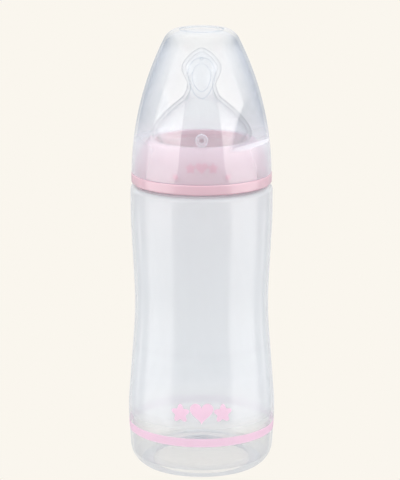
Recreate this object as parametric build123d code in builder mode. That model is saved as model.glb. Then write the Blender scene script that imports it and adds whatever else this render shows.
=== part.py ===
"""Wide-neck baby bottle: bottle, screw ring, silicone teat and clear protective cap.

Millimetres. The origin is the centre of the circle the bottle stands on, +Z is up, and -Y is the
front, the side that the teat's dish and vent valve face.
"""

from math import asin, degrees, sqrt
import os

from build123d import *

# ---- Driving dimensions ----

TOTAL_HEIGHT = 195.0

# Bottle: an hourglass body with a domed base and a short threaded neck.
FOOT_INNER_RADIUS = 21.8
FOOT_CORNER_RADIUS = 26.9
HEEL_RADIUS = 31.5
HEEL_Z = 3.22
BELLY_RADIUS = 32.84
BELLY_Z = 25.3
WAIST_RADIUS = 29.2
WAIST_Z = 71.5
SHOULDER_RADIUS = 31.2
SHOULDER_Z = 111.8
SHOULDER_TOP_Z = 126.6
SHOULDER_RISE = 0.3
BODY_WALL = 1.5
BODY_FILLETS = (2.0, 10.0, 100.0, 170.0, 200.0, 4.0)
INSIDE_FILLETS = (2.5, 3.5, 200.0, 170.0, 98.0, 4.0)
INSIDE_SHOULDER_Z = 125.0
FLOOR_Z = 4.0
FLOOR_CORNER_RADIUS = 29.8
BASE_DOME_Z = 8.8
BASE_DOME_RADIUS = 20.6
BASE_DOME_FOOT_Z = 2.2
FLOOR_DOME_RADIUS = 23.6
FLOOR_THICKNESS = 2.0

NECK_RADIUS = 24.4
NECK_RIM_RADIUS = 23.6
NECK_BORE_RADIUS = 22.2
NECK_BORE_BOTTOM_Z = 125.2
NECK_TOP_Z = 142.8
NECK_TAPER_HEIGHT = 4.0
NECK_RIM_CHAMFER = 0.5

# Single-start right-handed screw thread on neck and ring, interrupted twice in each turn.
THREAD_PITCH = 4.5
THREAD_DEPTH = 2.0
THREAD_ROOT_WIDTH = 2.0
THREAD_CREST_WIDTH = 0.9
THREAD_ROOT_SINK = 0.4
THREAD_STRETCH_ANGLE = 156
THREAD_START_Z = 129.7
NECK_HALF_TURNS = (0, 1, 2)
RING_THREAD_DROP = 1.55
RING_HALF_TURNS = (1, 2)

# Screw ring: a solid band, a tapered shoulder above it and a lip round the teat.
BAND_RADIUS = 30.84
BAND_BOTTOM_Z = 127.65
BAND_TOP_Z = 132.0
BAND_BOTTOM_CHAMFER = 0.5
BAND_TOP_CHAMFER = 0.3
RING_SEAT_RADIUS = 29.1
RING_ARC_MIDDLE = (28.0, 139.0)
RING_BORE_RADIUS = 26.95
RING_BORE_TOP_Z = 137.6
RING_BORE_BOTTOM_Z = 129.25
RING_SKIRT_RADIUS = 28.9
RING_SKIRT_TOP_Z = 128.45
RING_POCKET_RADIUS = 23.9
RING_POCKET_BOTTOM_Z = 142.6
LIP_TOP_Z = 146.7
LIP_THICKNESS = 2.1
LIP_HOLE_RADIUS = 20.1
LIP_HOLE_CHAMFER = 0.4
LIP_EDGE_RADIUS = 23.9
LIP_EDGE_DROP = 0.75
LIP_EDGE_WIDTH = 1.2
SNAP_NUB_COUNT = 8
SNAP_NUB_Z = 135.1
SNAP_NUB_SPHERE_RADIUS = 4.2
SNAP_NUB_TIP_RADIUS = 29.35
SNAP_NUB_FOOT_RADIUS = 27.95

# Teat: a flange under the lip, a groove through it, a dome over it, a neck and a flat bulb.
TEAT_TIP_Z = 186.8
TEAT_WALL = 1.6
TEAT_GAP = 0.1
FLANGE_RADIUS = 23.5
GROOVE_RADIUS = 19.75
DOME_RADIUS = 21.6
DOME_EDGE_Z = 149.9
DOME_FOOT_WIDTH = 0.6
DOME_FOOT_HEIGHTS = (0.3, 1.1)
DOME_ARC_MIDDLE = (17.6, 157.2)
DOME_TOP_Z = 164.2
DOME_INNER_RADIUS = 19.4
DOME_INNER_Z = 148.9
DOME_INNER_ARC_MIDDLE = (16.3, 155.9)
VENT_Z = 149.9
VENT_RADIUS = 2.6
VENT_HOLE_RADIUS = 1.2
VENT_HOLE_DEPTH = 1.6
VENT_FACE_Y = -23.1
VENT_LENGTH = 2.8
DISH_Z = 174.3
DISH_Y = -9.0
DISH_HALF_AXES = (6.3, 3.7, 9.2)
FEED_HOLE_RADIUS = 0.5
FEED_HOLE_Z = 182.4

# Half width in X and half depth in Y of the teat, at heights above the dome.
BULB_SECTIONS = (
    (DOME_TOP_Z, 9.6, 9.6),
    (165.7, 7.95, 7.6),
    (167.8, 6.75, 6.2),
    (170.9, 6.43, 5.7),
    (174.2, 7.6, 6.0),
    (177.6, 8.65, 6.1),
    (181.0, 7.9, 5.6),
    (184.2, 5.2, 4.3),
    (186.0, 2.9, 2.6),
)
TIP_HALF_WIDTH = 0.9

# Cap: a clear ogive with a recessed flat top and a vertical grip flat on two opposite sides.
CAP_RIM_Z = BAND_TOP_Z + 0.1
CAP_WALL = 1.1
CAP_ARC_RADIUS = 135.0
CAP_ARC_X = -104.3
CAP_ARC_Z = 130.0
CAP_CORNER_Z = 190.2
CAP_CORNER_MIDDLE = (14.5, 193.1)
CAP_TOP_RADIUS = 10.6
CAP_RECESS_RADIUS = 9.5
CAP_RECESS_SLOPE = 0.4
CAP_RECESS_DEPTH = 0.5
CAP_INNER_CORNER_Z = 189.8
CAP_INNER_CORNER_MIDDLE = (13.3, 192.0)
CAP_INNER_TOP_RADIUS = 9.9
GRIP_FLAT_DISTANCE = 25.55
GRIP_FLAT_LEDGE_Z = 146.95
GRIP_FLAT_ANGLE = -34.0
GRIP_CUT = (10.0, 60.0, 40.0)


def thread_stretch(root_radius, outward):
    """One stretch of thread, from angle 0 at height 0; outward is +1 on the neck, -1 in the ring."""
    buried = root_radius - outward * THREAD_ROOT_SINK
    crest = root_radius + outward * THREAD_DEPTH
    root_half = THREAD_ROOT_WIDTH / 2
    crest_half = THREAD_CREST_WIDTH / 2
    with BuildPart() as stretch:
        with BuildLine():
            path = Helix(pitch=THREAD_PITCH, height=THREAD_PITCH * THREAD_STRETCH_ANGLE / 360,
                         radius=root_radius)
        with BuildSketch(Plane.XZ):
            with BuildLine():
                Polyline((buried, -root_half), (crest, -crest_half), (crest, crest_half),
                         (buried, root_half), close=True)
            make_face()
        sweep(path=path, is_frenet=True)
    return stretch.part


def thread_places(start_z, half_turns):
    """Where the stretch of each numbered half turn starts; the gaps between them face +Y and -Y."""
    first_angle = -THREAD_STRETCH_ANGLE / 2
    return [Location((0, 0, start_z + half_turn * THREAD_PITCH / 2),
                     (0, 0, first_angle + 180 * half_turn)) for half_turn in half_turns]


def dome_arc(top_z, foot_radius, foot_z):
    """An arc from the top of a spherical dome on the axis down to its foot."""
    rise = top_z - foot_z
    sphere_radius = (foot_radius ** 2 + rise ** 2) / (2 * rise)
    angle = degrees(asin(foot_radius / sphere_radius))
    return JernArc(start=(0, top_z), tangent=(1, 0), radius=sphere_radius, arc_size=-angle)


def cap_radius(z, wall=0.0):
    """Radius of the cap's ogive at height z, a wall's thickness inside its outer surface."""
    return CAP_ARC_X + sqrt((CAP_ARC_RADIUS - wall) ** 2 - (z - CAP_ARC_Z) ** 2)


# ---- Bottle ----

with BuildPart() as bottle:
    with BuildSketch(Plane.YZ):
        with BuildLine():
            outside = FilletPolyline(
                (FOOT_INNER_RADIUS, 0), (FOOT_CORNER_RADIUS, 0), (HEEL_RADIUS, HEEL_Z),
                (BELLY_RADIUS, BELLY_Z), (WAIST_RADIUS, WAIST_Z), (SHOULDER_RADIUS, SHOULDER_Z),
                (SHOULDER_RADIUS, SHOULDER_TOP_Z), (NECK_RADIUS, SHOULDER_TOP_Z + SHOULDER_RISE),
                radius=BODY_FILLETS)
            Polyline(
                outside @ 1, (NECK_RADIUS, NECK_TOP_Z - NECK_TAPER_HEIGHT),
                (NECK_RIM_RADIUS, NECK_TOP_Z - NECK_RIM_CHAMFER),
                (NECK_RIM_RADIUS - NECK_RIM_CHAMFER, NECK_TOP_Z), (NECK_BORE_RADIUS, NECK_TOP_Z))
            FilletPolyline(
                (NECK_BORE_RADIUS, NECK_TOP_Z), (NECK_BORE_RADIUS, NECK_BORE_BOTTOM_Z),
                (SHOULDER_RADIUS - BODY_WALL, INSIDE_SHOULDER_Z),
                (SHOULDER_RADIUS - BODY_WALL, SHOULDER_Z), (WAIST_RADIUS - BODY_WALL, WAIST_Z),
                (BELLY_RADIUS - BODY_WALL, BELLY_Z), (FLOOR_CORNER_RADIUS, FLOOR_Z),
                (FLOOR_DOME_RADIUS, FLOOR_Z),
                radius=INSIDE_FILLETS)
            floor = dome_arc(BASE_DOME_Z + FLOOR_THICKNESS, FLOOR_DOME_RADIUS, FLOOR_Z)
            underside = dome_arc(BASE_DOME_Z, BASE_DOME_RADIUS, BASE_DOME_FOOT_Z)
            Line(floor @ 0, underside @ 0)
            Line(underside @ 1, (FOOT_INNER_RADIUS, 0))
        make_face()
    revolve(axis=Axis.Z)
    with Locations(*thread_places(THREAD_START_Z, NECK_HALF_TURNS)):
        add(thread_stretch(NECK_RADIUS, 1), clean=False)
bottle.part.label = "bottle"

# ---- Screw ring ----

LIP_BOTTOM_Z = LIP_TOP_Z - LIP_THICKNESS
LIP_EDGE_Z = LIP_TOP_Z - LIP_EDGE_DROP

with BuildPart() as snap_nubs:
    with PolarLocations(SNAP_NUB_TIP_RADIUS - SNAP_NUB_SPHERE_RADIUS, SNAP_NUB_COUNT,
                        start_angle=180 / SNAP_NUB_COUNT):
        with Locations((0, 0, SNAP_NUB_Z)):
            Sphere(SNAP_NUB_SPHERE_RADIUS)
    with Locations((0, 0, SNAP_NUB_Z)):
        Cylinder(SNAP_NUB_FOOT_RADIUS, 3 * SNAP_NUB_SPHERE_RADIUS, mode=Mode.SUBTRACT)

with BuildPart() as screw_ring:
    with BuildSketch(Plane.YZ):
        with BuildLine():
            Polyline(
                (RING_SKIRT_RADIUS, BAND_BOTTOM_Z),
                (BAND_RADIUS - BAND_BOTTOM_CHAMFER, BAND_BOTTOM_Z),
                (BAND_RADIUS, BAND_BOTTOM_Z + BAND_BOTTOM_CHAMFER),
                (BAND_RADIUS, BAND_TOP_Z - BAND_TOP_CHAMFER),
                (BAND_RADIUS - BAND_TOP_CHAMFER, BAND_TOP_Z), (RING_SEAT_RADIUS, BAND_TOP_Z))
            ThreePointArc(
                (RING_SEAT_RADIUS, BAND_TOP_Z), RING_ARC_MIDDLE, (LIP_EDGE_RADIUS, LIP_EDGE_Z))
            Polyline(
                (LIP_EDGE_RADIUS, LIP_EDGE_Z), (LIP_EDGE_RADIUS - LIP_EDGE_WIDTH, LIP_TOP_Z),
                (LIP_HOLE_RADIUS + LIP_HOLE_CHAMFER, LIP_TOP_Z),
                (LIP_HOLE_RADIUS, LIP_TOP_Z - LIP_HOLE_CHAMFER),
                (LIP_HOLE_RADIUS, LIP_BOTTOM_Z), (RING_POCKET_RADIUS, LIP_BOTTOM_Z),
                (RING_POCKET_RADIUS, RING_POCKET_BOTTOM_Z), (RING_BORE_RADIUS, RING_BORE_TOP_Z),
                (RING_BORE_RADIUS, RING_BORE_BOTTOM_Z), (RING_SKIRT_RADIUS, RING_SKIRT_TOP_Z),
                (RING_SKIRT_RADIUS, BAND_BOTTOM_Z))
        make_face()
    revolve(axis=Axis.Z)
    with Locations(*thread_places(THREAD_START_Z - RING_THREAD_DROP, RING_HALF_TURNS)):
        add(thread_stretch(RING_BORE_RADIUS, -1), clean=False)
    add(snap_nubs.part)
screw_ring.part.label = "screw_ring"

# ---- Teat ----

FLANGE_BOTTOM_Z = NECK_TOP_Z + TEAT_GAP
FLANGE_TOP_Z = LIP_BOTTOM_Z - TEAT_GAP
SKIRT_BOTTOM_Z = LIP_TOP_Z + TEAT_GAP
THROAT_RADIUS = GROOVE_RADIUS - TEAT_WALL
DOME_TOP_RADIUS = BULB_SECTIONS[0][1]
BULB_HALF_DEPTH = max(half_depth for z, half_width, half_depth in BULB_SECTIONS[3:])

dish = scale(Sphere(1), by=DISH_HALF_AXES)

with BuildPart() as teat:
    with BuildSketch(Plane.YZ):
        with BuildLine():
            Polyline(
                (THROAT_RADIUS, FLANGE_BOTTOM_Z), (FLANGE_RADIUS, FLANGE_BOTTOM_Z),
                (FLANGE_RADIUS, FLANGE_TOP_Z), (GROOVE_RADIUS, FLANGE_TOP_Z),
                (GROOVE_RADIUS, SKIRT_BOTTOM_Z),
                (DOME_RADIUS - DOME_FOOT_WIDTH, SKIRT_BOTTOM_Z + DOME_FOOT_HEIGHTS[0]),
                (DOME_RADIUS, SKIRT_BOTTOM_Z + DOME_FOOT_HEIGHTS[1]), (DOME_RADIUS, DOME_EDGE_Z))
            ThreePointArc(
                (DOME_RADIUS, DOME_EDGE_Z), DOME_ARC_MIDDLE, (DOME_TOP_RADIUS, DOME_TOP_Z))
            Line((DOME_TOP_RADIUS, DOME_TOP_Z), (DOME_TOP_RADIUS - TEAT_WALL, DOME_TOP_Z))
            ThreePointArc(
                (DOME_TOP_RADIUS - TEAT_WALL, DOME_TOP_Z), DOME_INNER_ARC_MIDDLE,
                (DOME_INNER_RADIUS, DOME_INNER_Z))
            Polyline(
                (DOME_INNER_RADIUS, DOME_INNER_Z), (THROAT_RADIUS, SKIRT_BOTTOM_Z),
                (THROAT_RADIUS, FLANGE_BOTTOM_Z))
        make_face()
    revolve(axis=Axis.Z)
    for z, half_width, half_depth in BULB_SECTIONS:
        with BuildSketch(Plane.XY.offset(z)):
            Ellipse(half_width, half_depth)
    with BuildSketch(Plane.XY.offset(TEAT_TIP_Z)):
        Circle(TIP_HALF_WIDTH)
    loft()
    for z, half_width, half_depth in BULB_SECTIONS:
        with BuildSketch(Plane.XY.offset(z)):
            Ellipse(half_width - TEAT_WALL, half_depth - TEAT_WALL)
    loft(mode=Mode.SUBTRACT)
    with Locations(Location((0, VENT_FACE_Y, VENT_Z), (90, 0, 0))):
        Cylinder(VENT_RADIUS, VENT_LENGTH, align=(Align.CENTER, Align.CENTER, Align.MAX))
        Cylinder(VENT_HOLE_RADIUS, VENT_HOLE_DEPTH, mode=Mode.SUBTRACT,
                 align=(Align.CENTER, Align.CENTER, Align.MAX))
    with Locations((0, DISH_Y, DISH_Z)):
        add(dish, mode=Mode.SUBTRACT)
    with Locations(Location((0, -BULB_HALF_DEPTH, FEED_HOLE_Z), (90, 0, 0))):
        Cylinder(FEED_HOLE_RADIUS, BULB_HALF_DEPTH, mode=Mode.SUBTRACT)
teat.part.label = "teat"

# ---- Protective cap ----

CAP_MIDDLE_Z = 160.0
RECESS_Z = TOTAL_HEIGHT - CAP_RECESS_DEPTH
INNER_TOP_Z = RECESS_Z - CAP_WALL
INNER_BOTTOM_Z = CAP_RIM_Z - 1.0

with BuildPart() as inner_space:
    with BuildSketch(Plane.YZ):
        with BuildLine():
            Line((0, INNER_BOTTOM_Z), (cap_radius(INNER_BOTTOM_Z, CAP_WALL), INNER_BOTTOM_Z))
            ThreePointArc(
                (cap_radius(INNER_BOTTOM_Z, CAP_WALL), INNER_BOTTOM_Z),
                (cap_radius(CAP_MIDDLE_Z, CAP_WALL), CAP_MIDDLE_Z),
                (cap_radius(CAP_INNER_CORNER_Z, CAP_WALL), CAP_INNER_CORNER_Z))
            ThreePointArc(
                (cap_radius(CAP_INNER_CORNER_Z, CAP_WALL), CAP_INNER_CORNER_Z),
                CAP_INNER_CORNER_MIDDLE, (CAP_INNER_TOP_RADIUS, INNER_TOP_Z))
            Polyline((CAP_INNER_TOP_RADIUS, INNER_TOP_Z), (0, INNER_TOP_Z), (0, INNER_BOTTOM_Z))
        make_face()
    revolve(axis=Axis.Z)
    with PolarLocations(GRIP_FLAT_DISTANCE - CAP_WALL, 2, start_angle=GRIP_FLAT_ANGLE):
        with Locations((0, 0, GRIP_FLAT_LEDGE_Z - CAP_WALL)):
            Box(*GRIP_CUT, align=(Align.MIN, Align.CENTER, Align.MIN), mode=Mode.SUBTRACT)

with BuildPart() as protective_cap:
    with BuildSketch(Plane.YZ):
        with BuildLine():
            Line((0, CAP_RIM_Z), (cap_radius(CAP_RIM_Z), CAP_RIM_Z))
            ThreePointArc(
                (cap_radius(CAP_RIM_Z), CAP_RIM_Z), (cap_radius(CAP_MIDDLE_Z), CAP_MIDDLE_Z),
                (cap_radius(CAP_CORNER_Z), CAP_CORNER_Z))
            ThreePointArc(
                (cap_radius(CAP_CORNER_Z), CAP_CORNER_Z), CAP_CORNER_MIDDLE,
                (CAP_TOP_RADIUS, TOTAL_HEIGHT))
            Polyline(
                (CAP_TOP_RADIUS, TOTAL_HEIGHT),
                (CAP_RECESS_RADIUS + CAP_RECESS_SLOPE, TOTAL_HEIGHT),
                (CAP_RECESS_RADIUS, RECESS_Z), (0, RECESS_Z), (0, CAP_RIM_Z))
        make_face()
    revolve(axis=Axis.Z)
    with PolarLocations(GRIP_FLAT_DISTANCE, 2, start_angle=GRIP_FLAT_ANGLE):
        with Locations((0, 0, GRIP_FLAT_LEDGE_Z)):
            Box(*GRIP_CUT, align=(Align.MIN, Align.CENTER, Align.MIN), mode=Mode.SUBTRACT)
    add(inner_space.part, mode=Mode.SUBTRACT)
protective_cap.part.label = "protective_cap"

os.makedirs("parts", exist_ok=True)
for piece in (bottle, screw_ring, teat, protective_cap):
    export_step(piece.part, f"parts/{piece.part.label}.step")
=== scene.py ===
"""Studio scene of the wide-neck baby bottle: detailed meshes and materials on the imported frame."""

from math import atan2, ceil, cos, hypot, pi, radians, sin, sqrt, tan

import bmesh
import bpy
from mathutils import Matrix, Vector


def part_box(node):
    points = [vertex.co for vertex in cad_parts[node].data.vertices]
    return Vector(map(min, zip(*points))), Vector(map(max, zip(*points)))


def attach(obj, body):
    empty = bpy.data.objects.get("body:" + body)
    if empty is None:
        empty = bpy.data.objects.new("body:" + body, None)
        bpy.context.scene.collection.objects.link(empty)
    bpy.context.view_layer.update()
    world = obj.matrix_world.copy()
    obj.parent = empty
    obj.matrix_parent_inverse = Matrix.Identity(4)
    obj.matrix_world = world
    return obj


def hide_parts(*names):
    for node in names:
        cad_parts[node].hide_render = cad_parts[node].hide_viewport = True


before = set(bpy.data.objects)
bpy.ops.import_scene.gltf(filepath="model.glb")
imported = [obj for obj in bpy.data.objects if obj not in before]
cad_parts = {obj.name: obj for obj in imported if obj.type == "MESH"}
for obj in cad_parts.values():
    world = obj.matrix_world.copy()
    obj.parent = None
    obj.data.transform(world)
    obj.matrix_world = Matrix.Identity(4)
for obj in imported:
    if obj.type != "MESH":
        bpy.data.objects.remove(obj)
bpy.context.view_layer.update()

MM = 0.001
SEGMENTS = 160
ON_AXIS = 1e-4
WELD_DISTANCE = 1e-7
SHARP_ANGLE = radians(40)
BEAD_SIDES = 8

# ---- Driving dimensions, in millimetres, from the frame where it has them ----

bottle_low, bottle_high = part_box("bottle")
ring_low, ring_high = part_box("screw_ring")
teat_low, teat_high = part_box("teat")
cap_low, cap_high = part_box("protective_cap")

BELLY_WIDTH = (bottle_high.x - bottle_low.x) / MM
NECK_TOP_Z = bottle_high.z / MM
BAND_BOTTOM_Z = ring_low.z / MM
BAND_RADIUS = ring_high.x / MM
LIP_TOP_Z = ring_high.z / MM
TEAT_FLANGE_Z = teat_low.z / MM
TEAT_TIP_Z = teat_high.z / MM
CAP_RIM_Z = cap_low.z / MM
CAP_TOP_Z = cap_high.z / MM


# ---- Outlines and meshes ----

def arc_between(start, corner, end, radius, steps):
    """Points of the fillet arc of a radius at a corner between two straight runs."""
    corner, start, end = Vector(corner), Vector(start), Vector(end)
    into = (start - corner).normalized()
    out = (end - corner).normalized()
    half_angle = into.angle(out) / 2
    reach = radius / tan(half_angle)
    centre = corner + (into + out).normalized() * (radius / sin(half_angle))
    first = corner + into * reach
    last = corner + out * reach
    points = []
    for step in range(steps + 1):
        mix = first.lerp(last, step / steps) - centre
        points.append(centre + mix.normalized() * radius)
    return points


def arc_through(a, b, c, count):
    """Points of the circular arc through three points."""
    (x1, y1), (x2, y2), (x3, y3) = a, b, c
    d = 2 * (x1 * (y2 - y3) + x2 * (y3 - y1) + x3 * (y1 - y2))
    s1, s2, s3 = x1 ** 2 + y1 ** 2, x2 ** 2 + y2 ** 2, x3 ** 2 + y3 ** 2
    cx = (s1 * (y2 - y3) + s2 * (y3 - y1) + s3 * (y1 - y2)) / d
    cy = (s1 * (x3 - x2) + s2 * (x1 - x3) + s3 * (x2 - x1)) / d
    first, last = atan2(y1 - cy, x1 - cx), atan2(y3 - cy, x3 - cx)
    radius = hypot(x1 - cx, y1 - cy)
    return [Vector((cx + radius * cos(first + (last - first) * i / count),
                    cy + radius * sin(first + (last - first) * i / count)))
            for i in range(count + 1)]


def rounded(corners):
    """An outline through (radius, height, fillet) corners; fillet 0 keeps the corner sharp."""
    points = []
    for index, (x, z, fillet) in enumerate(corners):
        if fillet == 0 or index in (0, len(corners) - 1):
            points.append(Vector((x, z)))
            continue
        before = corners[index - 1][:2]
        after = corners[index + 1][:2]
        steps = 8 if fillet < 12 else 14
        points += arc_between(before, (x, z), after, fillet, steps)
    return points


def radius_at(outline, z):
    """An outline's radius at a height, on its first run that rises through it."""
    for low, high in zip(outline, outline[1:]):
        if low.y <= z <= high.y and high.y > low.y:
            return low.x + (high.x - low.x) * (z - low.y) / (high.y - low.y)
    return outline[-1].x


def divided(points, longest):
    """The same outline with no run longer than a length, so that shading and bends stay even."""
    result = [points[0]]
    for start, end in zip(points, points[1:]):
        count = max(1, ceil((end - start).length / longest))
        result += [start.lerp(end, step / count) for step in range(1, count + 1)]
    return result


def mesh_object(name, builder, material, body):
    """A smooth-shaded piece from a bmesh, with sharp edges kept, riding on a body."""
    bmesh.ops.remove_doubles(builder, verts=builder.verts, dist=WELD_DISTANCE)
    bmesh.ops.recalc_face_normals(builder, faces=builder.faces)
    for face in builder.faces:
        face.smooth = True
    for edge in builder.edges:
        if len(edge.link_faces) == 2 and edge.calc_face_angle() > SHARP_ANGLE:
            edge.smooth = False
    mesh = bpy.data.meshes.new(name)
    builder.to_mesh(mesh)
    builder.free()
    mesh.materials.append(material)
    piece = bpy.data.objects.new(name, mesh)
    bpy.context.collection.objects.link(piece)
    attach(piece, body)
    return piece


def lathe(builder, outline, segments=SEGMENTS, shape=None, closed=True):
    """Turns an outline about Z. shape(angle, radius, z, index) may move each point."""
    rings = []
    for index, (radius, z) in enumerate(outline):
        if radius < ON_AXIS:
            rings.append([builder.verts.new((0, 0, z * MM))])
            continue
        ring = []
        for segment in range(segments):
            angle = 2 * pi * segment / segments
            x, y, height = radius * cos(angle), radius * sin(angle), z
            if shape:
                x, y, height = shape(angle, radius, z, index)
            ring.append(builder.verts.new((x * MM, y * MM, height * MM)))
        rings.append(ring)
    pairs = list(zip(rings, rings[1:]))
    if closed:
        pairs.append((rings[-1], rings[0]))
    for low, high in pairs:
        if len(low) == 1 and len(high) == 1:
            continue
        for segment in range(segments):
            after = (segment + 1) % segments
            corners = []
            for ring, order in ((low, (segment, after)), (high, (after, segment))):
                corners += [ring[0]] if len(ring) == 1 else [ring[i] for i in order]
            builder.faces.new(corners)


def bead(builder, path, radius, outwards=Vector((0, -1, 0))):
    """A thin round bead along a closed path, on a surface that faces outwards."""
    loops = []
    for before, here, after in zip(path[-1:] + path[:-1], path, path[1:] + path[:1]):
        along = (after - before).normalized()
        out = (outwards - along * outwards.dot(along)).normalized()
        across = along.cross(out)
        loops.append([builder.verts.new(here + (out * cos(t) + across * sin(t)) * radius * MM)
                      for t in (2 * pi * i / BEAD_SIDES for i in range(BEAD_SIDES))])
    for first, second in zip(loops, loops[1:] + loops[:1]):
        for i in range(BEAD_SIDES):
            j = (i + 1) % BEAD_SIDES
            builder.faces.new((first[i], first[j], second[j], second[i]))


def circle(centre, radius, up, count):
    """Points round a circle, in the plane of X and the direction up."""
    return [(Vector(centre) + (Vector((1, 0, 0)) * cos(t) + Vector(up) * sin(t)) * radius) * MM
            for t in (2 * pi * i / count for i in range(count))]


def smooth_through(points, steps):
    """A smooth curve through points (Catmull-Rom), as a finer list."""
    points = [Vector(p) for p in points]
    padded = [2 * points[0] - points[1]] + points + [2 * points[-1] - points[-2]]
    result = []
    for a, b, c, d in zip(padded, padded[1:], padded[2:], padded[3:]):
        for step in range(steps):
            t = step / steps
            result.append(0.5 * ((2 * b) + (c - a) * t + (2 * a - 5 * b + 4 * c - d) * t ** 2
                                 + (3 * b - a - 3 * c + d) * t ** 3))
    return result + [points[-1]]


def step_up(value, start, end):
    """0 before start, 1 after end, with a soft rise between them."""
    t = min(1.0, max(0.0, (value - start) / (end - start)))
    return t * t * (3 - 2 * t)


def soft_min(a, b, width):
    """The smaller of two lengths, rounded off where they are within a width of each other."""
    overlap = max(width - abs(a - b), 0) / width
    return min(a, b) - overlap * overlap * width / 4


# ---- Materials ----

class Nodes:
    """Short calls for one material's nodes."""

    def __init__(self, name):
        self.material = bpy.data.materials.new(name)
        self.material.use_nodes = True
        self.tree = self.material.node_tree
        self.tree.nodes.clear()
        self.output = self.add("OutputMaterial")
        self.coordinates = self.add("TexCoord").outputs["Object"]

    def add(self, kind):
        return self.tree.nodes.new("ShaderNode" + kind)

    def link(self, source, target):
        self.tree.links.new(source, target)

    def math(self, operation, *values):
        """A math node on sockets and numbers."""
        node = self.add("Math")
        node.operation = operation
        for target, value in zip(node.inputs, values):
            if isinstance(value, (int, float)):
                target.default_value = value
            else:
                self.link(value, target)
        return node.outputs["Value"]

    def stretched(self, scale):
        """The object's coordinates, scaled along each axis."""
        mapping = self.add("Mapping")
        mapping.inputs["Scale"].default_value = scale
        self.link(self.coordinates, mapping.inputs["Vector"])
        return mapping.outputs["Vector"]

    def noise(self, scale, detail, stretch=(1, 1, 1)):
        node = self.add("TexNoise")
        node.inputs["Scale"].default_value = scale
        node.inputs["Detail"].default_value = detail
        self.link(self.stretched(stretch), node.inputs["Vector"])
        return node.outputs["Fac"]

    def ranged(self, source, low, high):
        """A noise's usual range, 0.3 to 0.7, spread between low and high."""
        node = self.add("MapRange")
        node.inputs["From Min"].default_value = 0.3
        node.inputs["From Max"].default_value = 0.7
        node.inputs["To Min"].default_value = low
        node.inputs["To Max"].default_value = high
        self.link(source, node.inputs["Value"])
        return node.outputs["Result"]

    def tint(self, source, first, second):
        """A colour between two, by a noise's middle range, 0.35 to 0.65."""
        node = self.add("ValToRGB")
        node.color_ramp.elements[0].position = 0.35
        node.color_ramp.elements[0].color = (*first, 1)
        node.color_ramp.elements[1].position = 0.65
        node.color_ramp.elements[1].color = (*second, 1)
        self.link(source, node.inputs["Fac"])
        return node.outputs["Color"]

    def bump(self, source, strength, distance):
        node = self.add("Bump")
        node.inputs["Strength"].default_value = strength
        node.inputs["Distance"].default_value = distance
        self.link(source, node.inputs["Height"])
        return node.outputs["Normal"]

    def curve(self, source, power, start, rise):
        """start + rise * source ** power."""
        return self.math("MULTIPLY_ADD", self.math("POWER", source, power), rise, start)

    def scaled_by_height(self, value, heights):
        """A value times a factor that depends on the height, from (metres, factor) pairs."""
        split = self.add("SeparateXYZ")
        self.link(self.coordinates, split.inputs["Vector"])
        top = heights[-1][0]
        ramp = self.add("ValToRGB")
        elements = ramp.color_ramp.elements
        for index, (height, factor) in enumerate(heights):
            element = elements[index] if index < 2 else elements.new(height / top)
            element.position = height / top
            element.color = (factor, factor, factor, 1)
        self.link(self.math("DIVIDE", split.outputs["Z"], top), ramp.inputs["Fac"])
        return self.product(value, ramp.outputs["Color"])

    def product(self, first, second):
        return self.math("MULTIPLY", first, second)

    def standing(self, start, end):
        """1 on upright faces and 0 on level ones, by how far a face's normal points up or down."""
        direction = self.add("TexCoord").outputs["Normal"]
        split = self.add("SeparateXYZ")
        self.link(direction, split.inputs["Vector"])
        fade = self.add("MapRange")
        fade.interpolation_type = "SMOOTHSTEP"
        fade.inputs["From Min"].default_value = start
        fade.inputs["From Max"].default_value = end
        fade.inputs["To Min"].default_value = 1.0
        fade.inputs["To Max"].default_value = 0.0
        self.link(self.math("ABSOLUTE", split.outputs["Z"]), fade.inputs["Value"])
        return fade.outputs["Result"]

    def mixed(self, share, first, second):
        """One shader mixed with another by a share."""
        node = self.add("MixShader")
        if isinstance(share, float):
            node.inputs["Fac"].default_value = share
        else:
            self.link(share, node.inputs["Fac"])
        self.link(first, node.inputs[1])
        self.link(second, node.inputs[2])
        return node.outputs["Shader"]

    def principled(self, **values):
        node = self.add("BsdfPrincipled")
        for name, value in values.items():
            node.inputs[name.replace("_", " ")].default_value = value
        self.link(node.outputs["BSDF"], self.output.inputs["Surface"])
        return node


CLOUD_DETAIL = 2
CLOUD_TINT = 0.004
MIRROR_FACE_ON = 0.04


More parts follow.
